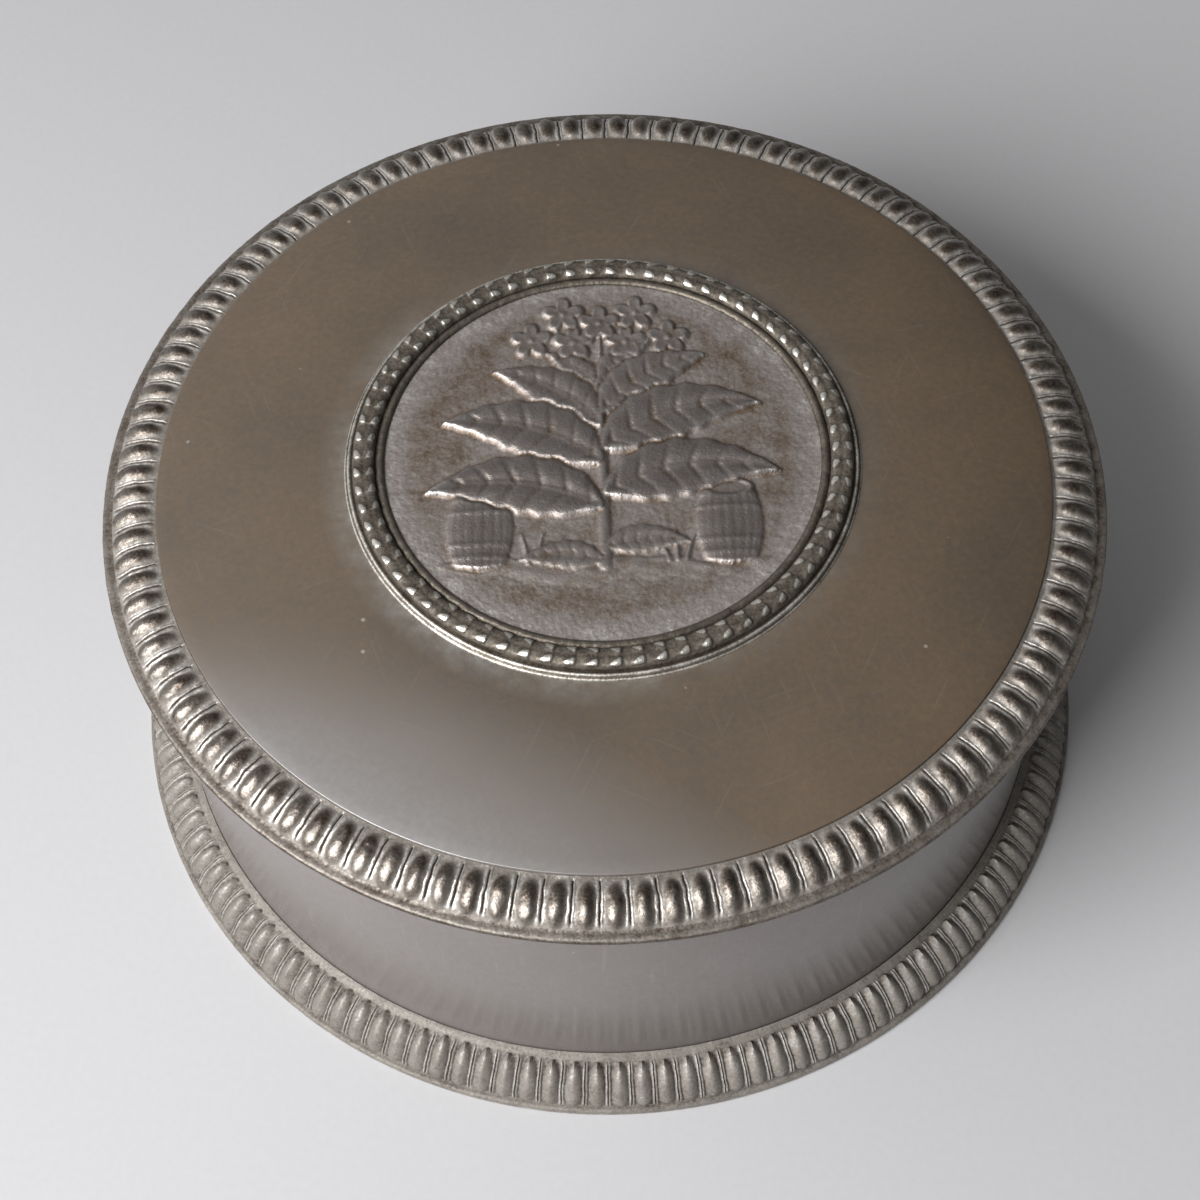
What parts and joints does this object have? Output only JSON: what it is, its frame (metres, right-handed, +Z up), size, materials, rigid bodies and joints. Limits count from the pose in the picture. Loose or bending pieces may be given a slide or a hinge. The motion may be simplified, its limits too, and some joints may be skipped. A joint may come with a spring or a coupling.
{
  "type": "tobacco box",
  "caption": "Round pewter tobacco box: plain drum on a tongue-moulded foot, lift-off lid with moulded rim and relief medallion, loose press plate inside.",
  "frame": {"origin": "on the table, under the middle of the box", "axes": "+Z up along the box's axis, front of the medallion towards -Y, +X to the right seen from the front"},
  "size_m": [0.1464, 0.1464, 0.0615],
  "materials": {
    "cast_rim": "cast pewter, dark in the recesses and rubbed bright on the crests",
    "drum": "satin sheet pewter with a grey-brown patina",
    "lid": "satin sheet pewter with a warm brown patina and fine scratches",
    "medallion": "cast pewter relief with a grainy ground and worn crests",
    "inside": "turned pewter, lighter than the outside, with brown tobacco stains",
    "press": "turned pewter with brown tobacco stains"
  },
  "bodies": {
    "base": {"foot_rim": "cast_rim", "drum_wall": "drum", "floor_plate": "inside"},
    "lid": {"lid_plate": "lid", "lid_rim": "cast_rim", "lid_collar": "inside", "medallion_border": "medallion", "medallion_plaque": "medallion"},
    "press": {"press_plate": "press", "press_knob": "press"}
  },
  "joints": [
    {"name": "lid_lift", "type": "slide", "parent": "base", "child": "lid", "axis": [0, 0, 1], "range_m": [0, 0.09]},
    {"name": "press_lift", "type": "slide", "parent": "base", "child": "press", "axis": [0, 0, 1], "range_m": [0, 0.036]}
  ]
}
